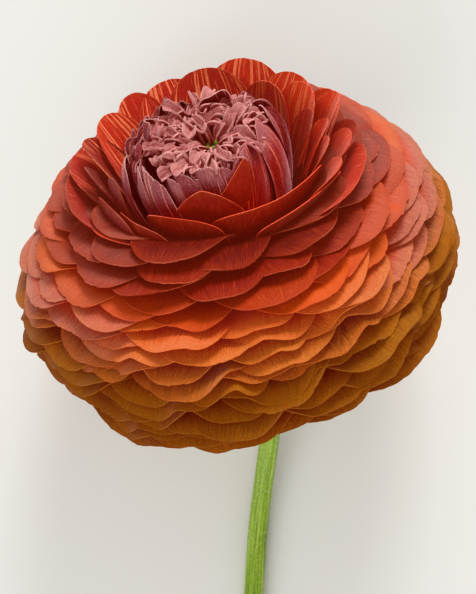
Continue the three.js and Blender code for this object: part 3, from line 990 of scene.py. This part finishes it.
# its points below that, in millimetres from the point of the surface under the bloom's middle
lyingRoute = (
    (8.3, -40, 15.2), (7.2, -50.5, 8.7), (5.6, -63, 4.6), (4.4, -78, 2.9), (3.6, -96, 2.5), (4, -120, 2.45),
    (6, -146, 2.45), (10, -172, 2.45), (16, -198, 2.45),
)


def stemRoute():
    underBloom = Vector((bloomCentre.x, bloomCentre.y, 0))
    start = [bloomToFrame @ Vector((0, 0, height)) for height in stem["underReceptacle"]]
    return start + [underBloom + Vector(point) * mm for point in lyingRoute]


def routeMiddle(y):
    # the route's own points at these distances along the surface
    route = np.array(stemRoute())[::-1]
    return np.stack([np.interp(y, route[:, 1], route[:, axis]) for axis in range(3)], axis=1)


def addStem():
    deselectAll()
    bpy.ops.curve.primitive_nurbs_path_add()
    path = bpy.context.object
    path.data.splines.clear()
    route = stemRoute()
    spline = path.data.splines.new("BEZIER")
    spline.bezier_points.add(len(route) - 1)
    for point, place in zip(spline.bezier_points, route):
        point.co = place
        point.handle_left_type = point.handle_right_type = "AUTO"
    spline.resolution_u = 10
    path.data.dimensions = "3D"
    path.data.bevel_depth = stem["radius"] * mm
    path.data.bevel_resolution = 6
    path.data.use_fill_caps = True
    bpy.ops.object.convert(target="MESH")
    piece = bpy.context.object
    piece.name = "hollowStem"
    setMode("EDIT")
    bpy.ops.mesh.select_all(action="SELECT")
    bpy.ops.mesh.remove_doubles(threshold=0.00002)
    bpy.ops.mesh.normals_make_consistent(inside=False)
    bpy.context.tool_settings.mesh_select_mode = (False, False, True)
    inward = (route[-2] - route[-1]).normalized()
    editing = bmesh.from_edit_mesh(piece.data)
    for face in editing.faces:
        fromEnd = face.calc_center_median() - route[-1]
        face.select = face.normal.dot(inward) < -0.9 and fromEnd.length < stem["radius"] * mm
    bmesh.update_edit_mesh(piece.data)
    bpy.ops.mesh.dissolve_faces()
    bpy.ops.mesh.inset(thickness=(stem["radius"] - stem["bore"]) * mm)
    bpy.ops.mesh.extrude_region_move(TRANSFORM_OT_translate={"value": inward * stem["boreDepth"] * mm})
    setMode("OBJECT")
    pressOnSurface(piece, stem["pressed"])
    points = pointsOf(piece.data)
    middle = routeMiddle(points[:, 1])
    setValue(piece.data, "along", points[:, 1])
    setValue(piece.data, "around", np.arctan2(points[:, 2] - middle[:, 2], points[:, 0] - middle[:, 0]))
    smoothShade(piece)
    piece.data.materials.append(stemGreen)
    standFor(piece, "stem")


addStem()

# radius and height on the bloom's axis, from the stem up
receptacleProfile = (
    (2.5, -41), (2.9, -38), (3.6, -34.8), (6.4, -31.8), (11.2, -30), (13.2, -27.5), (12.4, -22), (9.4, -17),
    (4.4, -14.6),
)


def addReceptacle():
    deselectAll()
    radius, height = receptacleProfile[0]
    bpy.ops.mesh.primitive_circle_add(vertices=40, radius=radius, fill_type="NGON", location=(0, 0, height))
    dome = bpy.context.object
    dome.name = "receptacle"
    bpy.ops.object.transform_apply(location=True)
    setMode("EDIT")
    bpy.ops.mesh.select_all(action="SELECT")
    for nextRadius, nextHeight in receptacleProfile[1:]:
        bpy.ops.mesh.extrude_region_move(TRANSFORM_OT_translate={"value": (0, 0, nextHeight - height)})
        bpy.ops.transform.resize(value=(nextRadius / radius, nextRadius / radius, 1))
        radius, height = nextRadius, nextHeight
    bpy.ops.mesh.select_all(action="SELECT")
    bpy.ops.mesh.normals_make_consistent(inside=False)
    setMode("OBJECT")
    useModifier(dome, "SUBSURF", levels=1, render_levels=1)
    points = pointsOf(dome.data)
    setValue(dome.data, "along", points[:, 2] * mm)
    setValue(dome.data, "around", np.arctan2(points[:, 1], points[:, 0]))
    dome.data.transform(bloomToFrame)
    smoothShade(dome)
    dome.data.materials.append(stemGreen)
    standFor(dome, "stem")


addReceptacle()


# the sepals, bent back under the lowest petals
sepals = {"count": 5, "reach": 25.5, "height": -33.5, "slope": -34, "width": 14, "thickness": 0.5}


def addSepals(blade):
    draw = random.Random(3)
    whorl = []
    for k in range(sepals["count"]):
        whorl.append(bentPetal(
            blade, azimuth=360 / sepals["count"] * (k + 0.25) + stray(draw, 6),
            tip=(sepals["reach"] + stray(draw, 1), sepals["height"] + stray(draw, 1.5)),
            tipAngle=sepals["slope"], width=sepals["width"], rootRadius=8, rootAngle=-70, rise=0.1, fall=0.4,
            twist=0.5, cup=-1.5, wave=0.6, **byChance(draw),
        ))
    piece = finishPetals("sepalWhorl", whorl, sepals["thickness"], "sepalGreen", "sepalGreen")
    standFor(piece, "sepals")


# fine hairs on the stem, clear of the surface
hairs = {"count": 900, "radius": 0.05, "length": 1.5, "clear": 0.3}


def addHairs():
    draw = random.Random(17)
    deselectAll()
    bpy.ops.mesh.primitive_cone_add(vertices=3, radius1=hairs["radius"], depth=1, end_fill_type="NOTHING")
    hair = bpy.context.object
    setMode("EDIT")
    bpy.ops.transform.translate(value=(0, 0, 0.5))
    setMode("OBJECT")
    route = stemRoute()
    low, high = route[-1].y, route[1].y
    copies = []
    while len(copies) < hairs["count"]:
        y = draw.uniform(low, high)
        middle, ahead = (Vector(point) for point in routeMiddle(np.array((y, y + mm))))
        along = (ahead - middle).normalized()
        outward = along.orthogonal().normalized()
        outward.rotate(Matrix.Rotation(anyTurn(draw), 3, along))
        root = middle + outward * stem["radius"] * mm * 0.9
        end = middle + outward * (stem["radius"] + hairs["length"]) * mm
        if root.z < 2 * hairs["clear"] * mm or end.z < hairs["clear"] * mm:
            continue
        direction = outward + along * stray(draw, 0.7)
        mesh = hair.data.copy()
        length = hairs["length"] * draw.uniform(0.6, 1.2) * mm
        mesh.transform(Matrix.Translation(root) @ direction.to_track_quat("Z", "Y").to_matrix().to_4x4()
                       @ Matrix.Diagonal((mm, mm, length, 1)))
        copies.append(newObject("hair", mesh))
    bpy.data.objects.remove(hair)
    piece = joinAs("stemHairs", copies)
    piece.data.materials.append(hairPale)
    standFor(piece, "stem")
    print("stemHairs", len(copies), "hairs")


addSepals(blades["sepal"])
addHairs()
for blade in blades.values():
    bpy.data.objects.remove(blade)
print("pieces modelled")

# a pale floor, and soft light pointed at the bloom
studio = {
    "floor": (0.86, 0.86, 0.84), "floorSize": 3, "world": 0.66,
    "keyLight": {"place": (0.12, 1.2, 0.6), "size": 0.6, "power": 18},
    "fillLight": {"place": (-0.35, -0.7, 0.7), "size": 1, "power": 8},
}


def addFloor():
    deselectAll()
    bpy.ops.mesh.primitive_plane_add(size=studio["floorSize"], location=(0, 0, 0))
    floor = bpy.context.object
    floor.name = "floor"
    material, tree, shader = newMaterial("floorPale")
    setFixed(shader, {"Base Color": srgb(*studio["floor"]), "Roughness": 0.85})
    floor.data.materials.append(material)


def addLight(name):
    plan = studio[name]
    bpy.ops.object.light_add(type="AREA", location=plan["place"])
    light = bpy.context.object
    light.name = name
    light.data.shape = "DISK"
    light.data.size = plan["size"]
    light.data.energy = plan["power"]
    light.rotation_euler = (bloomCentre - Vector(plan["place"])).to_track_quat("-Z", "Y").to_euler()


def addStudio():
    addFloor()
    addLight("keyLight")
    addLight("fillLight")
    world = bpy.data.worlds.new("studioWorld")
    world.use_nodes = True
    background = world.node_tree.nodes["Background"]
    setFixed(background, {"Color": (1, 1, 1, 1), "Strength": studio["world"]})
    bpy.context.scene.world = world
    bpy.context.scene.view_settings.view_transform = "Khronos PBR Neutral"


addStudio()
print("floor and lights placed")
